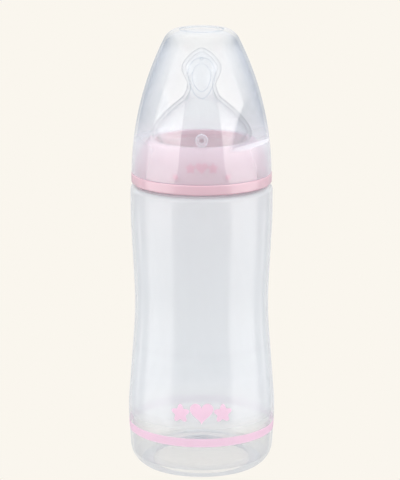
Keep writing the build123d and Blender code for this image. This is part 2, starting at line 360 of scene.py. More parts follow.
def thin_wall(name, *, cloud, relief, clear, edge, edge_power, haze, haze_edge, milk,
              gloss_roughness, mirror_rise, upright, level_milk=1.0, milk_heights=None,
              edge_heights=None):
    """A see-through wall, each face a film: tinted where it is seen edge on, hazy, and glossy.

    cloud: its noise's scale, and stretch along Z. relief: its bump's strength and distance.
    clear, edge: what the film lets through, face on and edge on.
    edge_power: how close to edge on a face has to be to change.
    haze, haze_edge: the colours of its milk, face on and edge on.
    milk: the milk's share face on, and how much more there is edge on.
    mirror_rise: how much glossier a face gets edge on.
    upright: how level a face is where the edge changes start to fade, and where they end.
    level_milk: the milk's factor on level faces.
    milk_heights, edge_heights: factors of the milk and of the edge changes, by metres up.
    """
    nodes = Nodes(name)
    wave = nodes.noise(cloud[0], CLOUD_DETAIL, (1, 1, cloud[1]))
    normal = nodes.bump(wave, *relief)
    weight = nodes.add("LayerWeight")
    weight.inputs["Blend"].default_value = 0.5
    nodes.link(normal, weight.inputs["Normal"])
    facing = weight.outputs["Facing"]
    standing = nodes.standing(*upright)
    if edge_heights:
        standing = nodes.scaled_by_height(standing, edge_heights)
    depth = nodes.add("Mix")
    depth.data_type = "RGBA"
    nodes.link(nodes.product(nodes.curve(facing, edge_power, 0.0, 1.0), standing),
               depth.inputs["Factor"])
    nodes.link(nodes.tint(wave, [c - CLOUD_TINT for c in clear], clear), depth.inputs[6])
    depth.inputs[7].default_value = (*edge, 1)
    window = nodes.add("BsdfTransparent")
    nodes.link(depth.outputs[2], window.inputs["Color"])
    murk = nodes.add("Mix")
    murk.data_type = "RGBA"
    nodes.link(nodes.product(nodes.curve(facing, 2.0, 0.0, 1.0), standing),
               murk.inputs["Factor"])
    murk.inputs[6].default_value = (*haze, 1)
    murk.inputs[7].default_value = (*haze_edge, 1)
    lit = nodes.add("BsdfPrincipled")
    nodes.link(murk.outputs[2], lit.inputs["Base Color"])
    lit.inputs["Roughness"].default_value = 0.5
    lit.inputs["Specular IOR Level"].default_value = 0.0
    glow = nodes.add("BsdfTranslucent")
    nodes.link(murk.outputs[2], glow.inputs["Color"])
    veil = nodes.mixed(0.5, lit.outputs["BSDF"], glow.outputs["BSDF"])
    share = nodes.product(nodes.curve(facing, 2.0, *milk),
                          nodes.curve(standing, 1.0, level_milk, 1 - level_milk))
    if milk_heights:
        share = nodes.scaled_by_height(share, milk_heights)
    film = nodes.mixed(share, window.outputs["BSDF"], veil)
    gloss = nodes.add("BsdfAnisotropic")
    gloss.inputs["Roughness"].default_value = gloss_roughness
    gloss.inputs["Color"].default_value = (1, 1, 1, 1)
    nodes.link(normal, gloss.inputs["Normal"])
    mirror = nodes.curve(facing, 5.0, MIRROR_FACE_ON, mirror_rise)
    nodes.link(nodes.mixed(mirror, film, gloss.outputs["BSDF"]), nodes.output.inputs["Surface"])
    return nodes.material


def milky_polypropylene():
    """The bottle: milky, cool and satin, and clearer in its neck and near its foot."""
    return thin_wall("milky_polypropylene", cloud=(60, 0.12), relief=(0.03, 0.0001),
                     clear=(0.965, 0.967, 0.972), edge=(0.86, 0.87, 0.88), edge_power=3.0,
                     haze=(0.832, 0.855, 0.875), haze_edge=(0.68, 0.71, 0.73), milk=(0.42, 0.2),
                     gloss_roughness=0.16, mirror_rise=0.9, upright=(0.93, 0.995), level_milk=2.6,
                     milk_heights=((0.0, 0.5), (0.0035, 0.18), (0.021, 0.24), (0.028, 1.3),
                                   (0.044, 1.3), (0.056, 1.0), (0.1265, 1.0), (0.131, 0.08)))


def pink_polypropylene(name, first, second, glow_share, glow_colour):
    """The screw ring's plastic: soft pink, satin, with a share of light passing through it."""
    nodes = Nodes(name)
    cloud = nodes.noise(45, 3)
    grain = nodes.noise(2200, 2)
    shader = nodes.principled(IOR=1.49, Specular_IOR_Level=1.0, Subsurface_Weight=0.15,
                              Subsurface_Scale=0.003, Coat_Weight=0.8, Coat_Roughness=0.2)
    shader.inputs["Subsurface Radius"].default_value = (1.0, 0.7, 0.75)
    colour = nodes.tint(cloud, first, second)
    nodes.link(colour, shader.inputs["Base Color"])
    glow = nodes.add("BsdfTranslucent")
    glow.inputs["Color"].default_value = (*glow_colour, 1)
    nodes.link(nodes.mixed(glow_share, shader.outputs["BSDF"], glow.outputs["BSDF"]),
               nodes.output.inputs["Surface"])
    nodes.link(nodes.ranged(cloud, 0.20, 0.27), shader.inputs["Roughness"])
    nodes.link(nodes.bump(grain, 0.08, 0.00002), shader.inputs["Normal"])
    return nodes.material


def clear_silicone(name, clear, edge, milk):
    """The teat: clear silicone, with thin outlines where its wall is seen edge on."""
    return thin_wall(name, cloud=(70, 1), relief=(0.05, 0.00005), clear=clear, edge=edge,
                     edge_power=5.0, haze=(0.92, 0.93, 0.95), haze_edge=(0.70, 0.74, 0.80),
                     milk=milk, gloss_roughness=0.07, mirror_rise=0.3, upright=(0.9, 0.98))


def clear_polypropylene(name, clear):
    """The cap: thin clear plastic with a cool haze that thickens where it is seen edge on."""
    return thin_wall(name, cloud=(55, 0.3), relief=(0.04, 0.0002), clear=clear,
                     edge=(0.55, 0.60, 0.67), edge_power=2.0, haze=(0.92, 0.94, 0.97),
                     haze_edge=(0.46, 0.51, 0.57), milk=(0.13, 0.2), gloss_roughness=0.06,
                     mirror_rise=0.8, upright=(0.5, 0.85), level_milk=1.5,
                     milk_heights=((0.130, 1.2), (0.146, 1.4), (0.153, 1.0), (0.186, 1.0),
                                   (0.190, 0.3)),
                     edge_heights=((0.130, 0.35), (0.146, 0.4), (0.158, 1.0)))


def pink_ink():
    """The printed stripe and marks: a thin satin ink with a fine screen-print grain."""
    nodes = Nodes("pink_ink")
    grain = nodes.noise(3000, 2)
    shader = nodes.principled(IOR=1.45, Specular_IOR_Level=1.0)
    colour = nodes.tint(grain, (0.935, 0.75, 0.85), (0.955, 0.78, 0.88))
    nodes.link(colour, shader.inputs["Base Color"])
    glow = nodes.add("BsdfTranslucent")
    nodes.link(colour, glow.inputs["Color"])
    nodes.link(nodes.mixed(0.5, shader.outputs["BSDF"], glow.outputs["BSDF"]),
               nodes.output.inputs["Surface"])
    nodes.link(nodes.ranged(grain, 0.12, 0.17), shader.inputs["Roughness"])
    nodes.link(nodes.bump(grain, 0.15, 0.00001), shader.inputs["Normal"])
    return nodes.material


BOTTLE_PLASTIC = milky_polypropylene()
PINK_GLOW = (1.0, 0.54, 0.67)
RING_PLASTIC = pink_polypropylene("pink_polypropylene", (0.63, 0.48, 0.54), (0.66, 0.505, 0.565),
                                  0.28, PINK_GLOW)
# A lightened copy of the ring's plastic: painted light for its inside faces, which lie in shade.
RING_LIT_INSIDE = pink_polypropylene("pink_polypropylene_inside_painted_light", (0.86, 0.54, 0.60),
                                 (0.88, 0.57, 0.63), 0.55, (1.0, 0.50, 0.60))
MARK_PLASTIC = pink_polypropylene("deep_pink_plastic", (0.72, 0.30, 0.41), (0.75, 0.32, 0.43),
                                  0.3, PINK_GLOW)
DARK_OUTLINE = (0.02, 0.04, 0.07)
TEAT_SILICONE = clear_silicone("clear_silicone", (0.985, 0.99, 0.996), DARK_OUTLINE, (0.03, 0.05))
# A darker clear silicone: painted shade along the teat's moulded edges.
TEAT_SHADED_RELIEF = clear_silicone("silicone_relief_painted_shade", (0.84, 0.87, 0.90), DARK_OUTLINE, (0.03, 0.05))
# Clear silicone tinted pink with a pink edge: painted pink of the ring seen through the vent. Its
# extra milk whitens the rings as a painted highlight.
VENT_PAINTED_PINK_SILICONE = clear_silicone("vent_silicone_painted_pink", (0.97, 0.94, 0.95), (0.72, 0.62, 0.67),
                               (0.22, 0.4))
# Painted shade and the ring's pink seen through, for the bottom of the vent's hole.
VENT_SHADE = clear_silicone("vent_shade", (0.72, 0.38, 0.50), (0.6, 0.3, 0.4), (0.05, 0.1))
CAP_PLASTIC = clear_polypropylene("clear_polypropylene", (0.985, 0.99, 0.996))
# A slightly darker clear plastic: painted shade along the cap top's rings.
CAP_SHADED_RELIEF = clear_polypropylene("polypropylene_relief_painted_shade", (0.93, 0.95, 0.97))
# A darker clear plastic: painted shade for the middle of the raised bottom.
GATE_SHADED_RELIEF = clear_polypropylene("gate_relief_painted_shade", (0.70, 0.72, 0.74))
INK = pink_ink()


# ---- Bottle ----

BODY_WALL = 1.5
NECK_RADIUS = 24.4
NECK_BORE = 22.2
BELLY_CORNER = BELLY_WIDTH / 2 + 0.24
FOOT_RADIUS = 23.6
FOOT_FLOOR_Z = 4.0
THREAD_PITCH = 4.5
THREAD_DEPTH = 2.0
THREAD_STRETCH = radians(156)
THREAD_START_Z = 129.7
THREAD_STEPS = 60
# Half heights of a thread's ridge, and how far it sinks into the wall and fades at its ends.
RIDGE_CREST = 0.45
RIDGE_ROOT = 0.92
RIDGE_FOOT = 1.0
RIDGE_SINK = 0.15
RIDGE_FADE = 0.06
DOME_STEPS = 18
INK_GAP = 0.005

BODY_OUTSIDE = rounded((
    (21.8, 0, 0), (26.9, 0, 2.0), (31.5, 3.22, 10), (BELLY_CORNER, 25.3, 100),
    (29.2, 71.5, 170), (31.2, 111.8, 200), (31.2, 126.6, 2.4), (NECK_RADIUS, 126.9, 0.6),
    (NECK_RADIUS, NECK_TOP_Z - 4, 3), (23.6, NECK_TOP_Z, 0.5), (NECK_BORE, NECK_TOP_Z, 0.4),
    (NECK_BORE, NECK_TOP_Z - 1, 0)))
BODY_INSIDE = rounded((
    (NECK_BORE, NECK_TOP_Z - 1, 0), (NECK_BORE, 125.2, 2.5), (29.7, 125.0, 3.5),
    (29.7, 111.8, 200), (27.7, 71.5, 170), (BELLY_CORNER - BODY_WALL, 25.3, 98),
    (30.3, FOOT_FLOOR_Z, 1.5), (FOOT_RADIUS, FOOT_FLOOR_Z, 0)))


def dome(top_z, foot_radius, foot_z, inwards):
    """Points of a spherical dome, from its foot inwards to the axis, or the other way."""
    rise = top_z - foot_z
    sphere = (foot_radius ** 2 + rise ** 2) / (2 * rise)
    points = []
    for step in range(DOME_STEPS + 1):
        radius = foot_radius * (1 - step / DOME_STEPS)
        points.append(Vector((radius, top_z - sphere + sqrt(sphere ** 2 - radius ** 2))))
    return points if inwards else points[::-1]


def thread_ridge(builder, root, crest, start_angle, start_z):
    """One interrupted stretch of screw thread, with its ends faded into the wall."""
    loops = []
    for step in range(THREAD_STEPS + 1):
        share = step / THREAD_STEPS
        angle = start_angle + THREAD_STRETCH * share
        z = start_z + THREAD_PITCH * (THREAD_STRETCH * share) / (2 * pi)
        fade = step_up(min(share, 1 - share), 0.0, RIDGE_FADE)
        reach = root + (crest - root) * fade
        sink = root - (crest - root) * RIDGE_SINK
        section = ((sink, -RIDGE_FOOT), (root, -RIDGE_ROOT), (reach, -RIDGE_CREST),
                   (reach, RIDGE_CREST), (root, RIDGE_ROOT), (sink, RIDGE_FOOT))
        loops.append([builder.verts.new((r * MM * cos(angle), r * MM * sin(angle), (z + h) * MM))
                      for r, h in section])
    for first, second in zip(loops, loops[1:]):
        for i in range(len(first)):
            j = (i + 1) % len(first)
            builder.faces.new((first[i], first[j], second[j], second[i]))
    builder.faces.new(loops[0])
    builder.faces.new(loops[-1][::-1])


def thread_stretches(builder, root, crest, start_z, half_turns):
    """A thread's stretches, one for each of the half turns that it has."""
    for half_turn in half_turns:
        thread_ridge(builder, root, crest, pi * half_turn - THREAD_STRETCH / 2,
                     start_z + half_turn * THREAD_PITCH / 2)


def make_bottle():
    """The hourglass body with its raised bottom, and the thread on its neck."""
    builder = bmesh.new()
    outline = divided(BODY_OUTSIDE, 3.0) + divided(BODY_INSIDE, 3.0)[1:]
    outline += dome(top_z=10.8, foot_radius=FOOT_RADIUS, foot_z=FOOT_FLOOR_Z, inwards=True)[1:]
    outline += dome(top_z=8.8, foot_radius=20.6, foot_z=2.2, inwards=False)
    lathe(builder, outline)
    piece = mesh_object("bottle_body", builder, BOTTLE_PLASTIC, "bottle")
    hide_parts("bottle")
    builder = bmesh.new()
    thread_stretches(builder, NECK_RADIUS, NECK_RADIUS + THREAD_DEPTH, THREAD_START_Z, (0, 1, 2))
    mesh_object("neck_thread", builder, BOTTLE_PLASTIC, "bottle")


GATE_LOW_Z = 7.9
GATE_HIGH_Z = 8.7
GATE_RING_RADIUS = 5.0
GATE_RING_Z = 8.45
GATE_RING_THICKNESS = 0.25


def make_gate_mark():
    """The small moulding mark under the middle of the raised bottom, with its ring, in a darker
    clear plastic: painted shade for the darkening in the middle of the raised bottom.
    """
    builder = bmesh.new()
    lathe(builder, rounded(((0, GATE_LOW_Z, 0), (2.4, GATE_LOW_Z, 0.3), (3.2, GATE_HIGH_Z, 0),
                            (0, GATE_HIGH_Z, 0))), segments=48, closed=False)
    bead(builder, circle((0, 0, GATE_RING_Z), GATE_RING_RADIUS, (0, 1, 0), 96),
         GATE_RING_THICKNESS, Vector((0, 0, -1)))
    mesh_object("gate_mark", builder, GATE_SHADED_RELIEF, "bottle")


# ---- Printed marks ----

INK_THICKNESS = 0.05
STRIPE_BOTTOM_Z = 15.7
STRIPE_TOP_Z = 19.5
STRIPE_RUNS = 4
FRONT_MARK_Z = 30.8
LONGEST_MARK_EDGE = 0.7
HEART_WIDTH = 32
HEART_RISE = 2.5
STAR_WAVE = 0.19
STAR_REACH = 0.97


def make_stripe():
    builder = bmesh.new()
    heights = [STRIPE_BOTTOM_Z + (STRIPE_TOP_Z - STRIPE_BOTTOM_Z) * i / STRIPE_RUNS
               for i in range(STRIPE_RUNS + 1)]
    outer = [(radius_at(BODY_OUTSIDE, z) + INK_THICKNESS, z) for z in heights]
    inner = [(radius_at(BODY_OUTSIDE, z) + INK_GAP, z) for z in heights[::-1]]
    lathe(builder, outer + inner)
    mesh_object("base_stripe", builder, INK, "bottle")


def heart(size, centre):
    """Outline points of a rounded heart, a size wide: the usual heart curve, 32 units wide."""
    points = []
    scale = size / HEART_WIDTH
    for t in (2 * pi * i / 48 for i in range(48)):
        x = 16 * sin(t) ** 3
        y = 13 * cos(t) - 5 * cos(2 * t) - 2 * cos(3 * t) - cos(4 * t)
        points.append((centre[0] + x * scale, centre[1] + (y + HEART_RISE) * scale))
    return points


def star(size, centre):
    """Outline points of a soft five-pointed star, a size wide."""
    points = []
    for t in (2 * pi * i / 60 for i in range(60)):
        radius = size / 2 * (1 - STAR_WAVE + STAR_WAVE * cos(5 * t)) / STAR_REACH
        points.append((centre[0] + radius * sin(t), centre[1] + radius * cos(t)))
    return points


def mark_on(name, outlines, surface, thickness, material, body, cuts):
    """Flat outlines, in millimetres across and up, wrapped on a surface and given a thickness.

    Their long edges are halved as many times as there are cuts, so that they follow its curve.
    """
    builder = bmesh.new()
    for outline in outlines:
        builder.faces.new([builder.verts.new((x, z, 0)) for x, z in outline])
    bmesh.ops.triangulate(builder, faces=builder.faces[:])
    for _ in range(cuts):
        long_edges = [e for e in builder.edges if e.calc_length() > LONGEST_MARK_EDGE]
        bmesh.ops.subdivide_edges(builder, edges=long_edges, cuts=1)
        bmesh.ops.triangulate(builder, faces=[f for f in builder.faces if len(f.verts) > 3])
    flat = {vert: (vert.co.x, vert.co.y) for vert in builder.verts}
    bottom = list(builder.faces)
    copies = bmesh.ops.duplicate(builder, geom=builder.verts[:] + builder.edges[:] + bottom)
    mapping = copies["vert_map"]
    rim = [e for e in builder.edges if len(e.link_faces) == 1 and e.verts[0] in flat]
    for edge in rim:
        a, b = edge.verts
        builder.faces.new((a, b, mapping[b], mapping[a]))
    for vert, (x, z) in flat.items():
        mapping[vert].co = surface(x, z, thickness)
        vert.co = surface(x, z, INK_GAP)
    mesh_object(name, builder, material, body)


def on_body(x, z, lift):
    """The point of the bottle's front at a place across and up, lifted off it."""
    radius = radius_at(BODY_OUTSIDE, z) + lift
    angle = x / radius
    return Vector((radius * sin(angle), -radius * cos(angle), z)) * MM


def mark_row(star_size, heart_size, spacing, z):
    """A star, a heart and a star in a row."""
    return (star(star_size, (-spacing, z)), heart(heart_size, (0, z)),
            star(star_size, (spacing, z)))


def make_front_mark():
    outlines = mark_row(star_size=8.2, heart_size=10.4, spacing=9.4, z=FRONT_MARK_Z)
    mark_on("front_mark", outlines, on_body, INK_THICKNESS, INK, "bottle", 4)


# ---- Screw ring ----

SHOULDER_FOOT = (29.1, 132.0)
SHOULDER_MIDDLE = (28.0, 139.0)
SHOULDER_TOP = (23.9, 145.95)
BAND_INSIDE_RADIUS = 28.9
RING_BORE = 26.95
SEAT_RADIUS = 23.9
LIP_RADIUS = 20.1
LIP_UNDER_Z = 144.6
RING_THREAD_DROP = 1.55
RING_MARK_Z = 138.8
RING_MARK_LIFT = 0.28
NUB_COUNT = 8
NUB_Z = 135.1
NUB_RADIUS = 2.1
NUB_HEIGHT = 0.55
NUB_ROUNDNESS = 0.6
NUB_TOP_SHARE = 0.8
FACING_INWARDS = -0.3
SLOPE_STEP = 0.1

RING_SHOULDER = arc_through(SHOULDER_FOOT, SHOULDER_MIDDLE, SHOULDER_TOP, 40)


def nub_bump(angle, z):
    """How far a snap nub stands out of the shoulder at an angle and height."""
    spacing = 2 * pi / NUB_COUNT
    off = angle % spacing - spacing / 2
    across = abs(off) * radius_at(RING_SHOULDER, z)
    distance = hypot(across, z - NUB_Z) / NUB_RADIUS
    return NUB_HEIGHT * (1 - distance ** 2) ** NUB_ROUNDNESS if distance < 1 else 0.0


def make_ring():
    """The ring, with painted light on its inside (a brighter, more glowing pink where its bore lies
    in shade) and a deeper pink on its nubs' tops.
    """
    builder = bmesh.new()
    lower = divided(rounded((
        (BAND_INSIDE_RADIUS, BAND_BOTTOM_Z, 0), (BAND_RADIUS, BAND_BOTTOM_Z, 0.6),
        (BAND_RADIUS, SHOULDER_FOOT[1], 0.35), (*SHOULDER_FOOT, 0))), 1.0)
    upper = divided(rounded((
        (*SHOULDER_TOP, 0), (23.0, LIP_TOP_Z, 0.5), (LIP_RADIUS, LIP_TOP_Z, 0.5),
        (LIP_RADIUS, LIP_UNDER_Z, 0.3), (SEAT_RADIUS, LIP_UNDER_Z, 0.3),
        (SEAT_RADIUS, 142.6, 0.4), (RING_BORE, 137.6, 0.8), (RING_BORE, 129.25, 0.3),
        (BAND_INSIDE_RADIUS, 128.45, 0.3), (BAND_INSIDE_RADIUS, BAND_BOTTOM_Z, 0))), 1.5)
    outline = lower + RING_SHOULDER[1:] + upper[1:-1]
    first = len(lower)
    last = first + len(RING_SHOULDER) - 1

    def with_nubs(angle, radius, z, index):
        if first <= index < last:
            radius += nub_bump(angle, z)
        return radius * cos(angle), radius * sin(angle), z

    lathe(builder, outline, segments=480, shape=with_nubs)
    piece = mesh_object("ring_shell", builder, RING_PLASTIC, "screw_ring")
    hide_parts("screw_ring")
    piece.data.materials.append(RING_LIT_INSIDE)
    piece.data.materials.append(MARK_PLASTIC)
    for face in piece.data.polygons:
        x, y, z = face.center / MM
        # Faces that face the axis take the lightened copy: painted light in the ring's shaded bore.
        if face.normal.dot(Vector((x, y, 0)).normalized()) < FACING_INWARDS:
            face.material_index = 1
        elif (z > SHOULDER_FOOT[1] + 0.1
              and nub_bump(atan2(y, x), z) > NUB_TOP_SHARE * NUB_HEIGHT):
            face.material_index = 2
    builder = bmesh.new()
    thread_stretches(builder, RING_BORE, RING_BORE - THREAD_DEPTH,
                     THREAD_START_Z - RING_THREAD_DROP, (1, 2))
    mesh_object("ring_thread", builder, RING_PLASTIC, "screw_ring")


def on_ring(x, z, lift):
    """The point of the ring shoulder's front at a place across and up, lifted off it."""
    radius = radius_at(RING_SHOULDER, z)
    slope = (radius_at(RING_SHOULDER, z + SLOPE_STEP)
             - radius_at(RING_SHOULDER, z - SLOPE_STEP)) / (2 * SLOPE_STEP)
    length = hypot(1, slope)
    angle = x / radius
    radius += lift / length
    return Vector((radius * sin(angle), -radius * cos(angle), z - slope * lift / length)) * MM


def make_ring_mark():
    outlines = mark_row(star_size=4.3, heart_size=5.3, spacing=4.8, z=RING_MARK_Z)
    mark_on("ring_mark", outlines, on_ring, RING_MARK_LIFT, MARK_PLASTIC, "screw_ring",
            3)


# ---- Teat ----

TEAT_WALL = 1.5
DISH_Z = 174.3
DISH_HALF_HEIGHT = 8.75
DISH_HALF_WIDTH = 5.85
DISH_DEPTH = 1.0
DISH_NARROWING = 0.16
DISH_RIM_SHARE = 0.32
DISH_FADE = 1.5
DISH_EDGES = ((0.99, 0.2), (0.68, 0.17))
BULB_START_Z = 160.0
FEED_HOLE_Z = 182.4
FEED_HOLE_RADIUS = 0.6
FEED_HOLE_LIP = 0.18
FEED_HOLE_LIFT = 0.05
DOME_FOOT_RADIUS = 21.85
DOME_FOOT_Z = 149.9
FLANGE_RADIUS = 23.5
FLANGE_TOP_Z = 144.5
GROOVE_RADIUS = 19.75
TEAT_BORE = 18.15
INSIDE_FOOT_Z = 148.6
SMALLEST_INSIDE = 0.3
INSIDE_TIP_RISE = 0.15

TEAT_SIDE = (
    (DOME_FOOT_RADIUS, DOME_FOOT_Z), (20.95, 152.2), (17.7, 156.6), (13.3, 161.0), (9.7, 164.0),
    (8.2, 165.4), (7.2, 167.2), (6.55, 169.2), (6.35, 170.9), (6.8, 172.5), (7.65, 174.2),
    (8.4, 176.0), (8.65, 177.7), (8.35, 179.4), (7.45, 181.1), (6.1, 182.7), (4.5, 184.3),
    (2.9, 185.5), (1.3, 186.4))
DEPTH_SHARE = ((DOME_FOOT_Z, 1.0), (162.0, 1.0), (166.0, 0.96), (171.0, 0.89), (175.0, 0.76),
               (178.0, 0.70), (181.5, 0.71), (184.5, 0.82), (186.8, 1.0))
TEAT_CURVE = smooth_through(TEAT_SIDE, 8)


def depth_share(z):
    """The bulb's depth over its width at a height."""
    for (low, first), (high, second) in zip(DEPTH_SHARE, DEPTH_SHARE[1:]):
        if low <= z <= high:
            return first + (second - first) * step_up(z, low, high)
    return 1.0


def dish_depth(x, z):
    """How deep the dish on the bulb's front is, across and up: an egg, narrower at its foot."""
    up = (z - DISH_Z) / DISH_HALF_HEIGHT
    if abs(up) >= 1:
        return 0.0
    across = x / (DISH_HALF_WIDTH * (1 + DISH_NARROWING * up))
    return DISH_DEPTH * min(1.0, max(0.0, (1 - hypot(across, up)) / DISH_RIM_SHARE))


def flattened(x, y, z):
    """A point of the turned teat, its bulb narrowed from front to back and dished in front."""
    if z > BULB_START_Z:
        y *= depth_share(z)
        if y < 0:
            y += dish_depth(x, z) * min(1.0, -y / DISH_FADE)
    return x, y, z


def make_teat():
    """The teat, its wall set in from the outline of its dome and bulb."""
    lower = divided(rounded((
        (TEAT_BORE, TEAT_FLANGE_Z, 0), (FLANGE_RADIUS, TEAT_FLANGE_Z, 0.5),
        (FLANGE_RADIUS, FLANGE_TOP_Z, 0.4), (GROOVE_RADIUS, FLANGE_TOP_Z, 0.3),
        (GROOVE_RADIUS, 146.8, 0.3), (21.3, 146.9, 0.5), (DOME_FOOT_RADIUS, 148.3, 0.8),
        (DOME_FOOT_RADIUS, DOME_FOOT_Z, 0))), 1.2)
    tip = [Vector((0, TEAT_TIP_Z))]
    inner_side = []
    for before, here, after in zip(TEAT_CURVE, TEAT_CURVE[1:], TEAT_CURVE[2:]):
        normal = Vector((after.y - before.y, before.x - after.x)).normalized()
        inside = here - normal * TEAT_WALL
        if inside.x > SMALLEST_INSIDE and (not inner_side or inside.y > inner_side[-1].y):
            inner_side.append(inside)
    inner_tip = [Vector((0, inner_side[-1].y + INSIDE_TIP_RISE))]
    inner_side = [p for p in inner_side if p.y > INSIDE_FOOT_Z]
    inner_lower = divided(rounded(((*inner_side[0], 0), (19.2, 147.4, 1.0),
                                   (TEAT_BORE, 146.0, 1.0), (TEAT_BORE, TEAT_FLANGE_Z, 0))), 1.2)
    outline = lower + TEAT_CURVE[1:] + tip
    inner = inner_tip + inner_side[::-1] + inner_lower[1:-1]

    def with_bulb(angle, radius, z, index):
        return flattened(radius * cos(angle), radius * sin(angle), z)

    builder = bmesh.new()
    lathe(builder, outline + inner, segments=192, shape=with_bulb)
    piece = mesh_object("teat_silicone", builder, TEAT_SILICONE, "teat")
    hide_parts("teat")


def teat_surface(x, z, lift):
    """The point of the teat's front at a place across and up, lifted off it."""
    radius = radius_at(TEAT_CURVE, z)
    x, y, z = flattened(x, -sqrt(max(radius ** 2 - x ** 2, 0)), z)
    return Vector((x, y - lift, z)) * MM


def make_teat_relief():
    """The dish's two moulded edges, and the lip round the feed hole, in a darker clear silicone:
    painted shade along the lines they draw.
    """
    builder = bmesh.new()
    for share, thickness in DISH_EDGES:
        path = []
        for t in (2 * pi * i / 120 for i in range(120)):
            up = share * sin(t)
            across = share * cos(t) * DISH_HALF_WIDTH * (1 + DISH_NARROWING * up)
            path.append(teat_surface(across, DISH_Z + DISH_HALF_HEIGHT * up, 0))
        bead(builder, path, thickness)
    lip = [teat_surface(FEED_HOLE_RADIUS * cos(t), FEED_HOLE_Z + FEED_HOLE_RADIUS * sin(t),
                        FEED_HOLE_LIFT) for t in (2 * pi * i / 24 for i in range(24))]
    bead(builder, lip, FEED_HOLE_LIP)
    mesh_object("teat_relief", builder, TEAT_SHADED_RELIEF, "teat")


VENT_Z = 149.9
VENT_RADIUS = 2.75
VENT_BACK = 20.6
VENT_FACE = 22.8
VENT_HOLE_END = 21.4
SHADE_DISC_BACK = 21.5
SHADE_DISC_FACE = 21.65
SHADE_DISC_RADIUS = 1.1
VENT_RINGS = ((2.5, 0.3), (1.3, 0.25))


def turned_forward(builder, outline, segments):
    """A solid turned about the vent's axis, with the outline's heights pointing forward."""
    lathe(builder, outline, segments=segments, closed=False)
    turn = Matrix.Rotation(pi / 2, 4, "X")
    for vert in builder.verts:
        vert.co = turn @ vert.co + Vector((0, 0, VENT_Z * MM))


def make_vent():
    """The air valve at the dome's front foot: a ringed collar with a blind hole. Its pink tint and
    the magenta disc at the hole's bottom are painted: the ring's pink seen through it, and painted
    shade in the hole.
    """
    builder = bmesh.new()
    turned_forward(builder, divided(rounded((
        (0, VENT_BACK, 0), (VENT_RADIUS, VENT_BACK, 0.1), (VENT_RADIUS, VENT_FACE, 0.4),
        (1.3, VENT_FACE, 0.2), (1.15, VENT_HOLE_END, 0.2), (0, VENT_HOLE_END, 0))), 0.5), 64)
    mesh_object("vent_valve", builder, VENT_PAINTED_PINK_SILICONE, "teat")
    # A thin magenta disc at the bottom of the hole: painted shade and the ring's pink seen through
    # the hole.
    builder = bmesh.new()
    turned_forward(builder, rounded(((0, SHADE_DISC_BACK, 0), (SHADE_DISC_RADIUS, SHADE_DISC_BACK, 0),
                                     (SHADE_DISC_RADIUS, SHADE_DISC_FACE, 0), (0, SHADE_DISC_FACE, 0))), 32)
    mesh_object("vent_hole_shade", builder, VENT_SHADE, "teat")
    builder = bmesh.new()
    for radius, thickness in VENT_RINGS:
        bead(builder, circle((0, -VENT_FACE, VENT_Z), radius, (0, 0, 1), 48), thickness)
    mesh_object("vent_rings", builder, VENT_PAINTED_PINK_SILICONE, "teat")


# ---- Protective cap ----

CAP_WALL = 1.1
CAP_ARC_RADIUS = 135.0
CAP_ARC_X = -104.3
CAP_ARC_Z = 130.0
CAP_SIDE_TOP_Z = 190.2
CAP_INNER_SIDE_TOP_Z = 189.8
CAP_INNER_TOP_Z = 193.4
CAP_INNER_TOP_RADIUS = 9.9
CAP_CORNER_RADIUS = 10.6
CAP_DISC_RADIUS = 9.5
CAP_DISC_Z = CAP_TOP_Z - 0.5
CAP_DISC_RINGS = ((9.6, CAP_TOP_Z - 0.36, 0.2), (7.6, CAP_DISC_Z, 0.1))
CAP_STEP = 0.7
LEDGE_STEP = 0.12
FLAT_DISTANCE = 25.55
FLAT_LEDGE_Z = 146.95
FLAT_ANGLE = radians(-34)
LEDGE_HALF_HEIGHT = 0.25
FLAT_BLEND = 0.5


def cap_radius(z, wall):
    """The ogive's radius at a height, outside with wall 0, or inside."""
    return CAP_ARC_X + sqrt((CAP_ARC_RADIUS - wall) ** 2 - (z - CAP_ARC_Z) ** 2)


def cap_side(low, high, wall, ledge):
    """The ogive's points from low to high, close together where the grip flats' ledge is."""
    heights = [low]
    while heights[-1] < high:
        near = abs(heights[-1] - ledge) < CAP_STEP
        heights.append(min(high, heights[-1] + (LEDGE_STEP if near else CAP_STEP)))
    return [Vector((cap_radius(z, wall), z)) for z in heights]


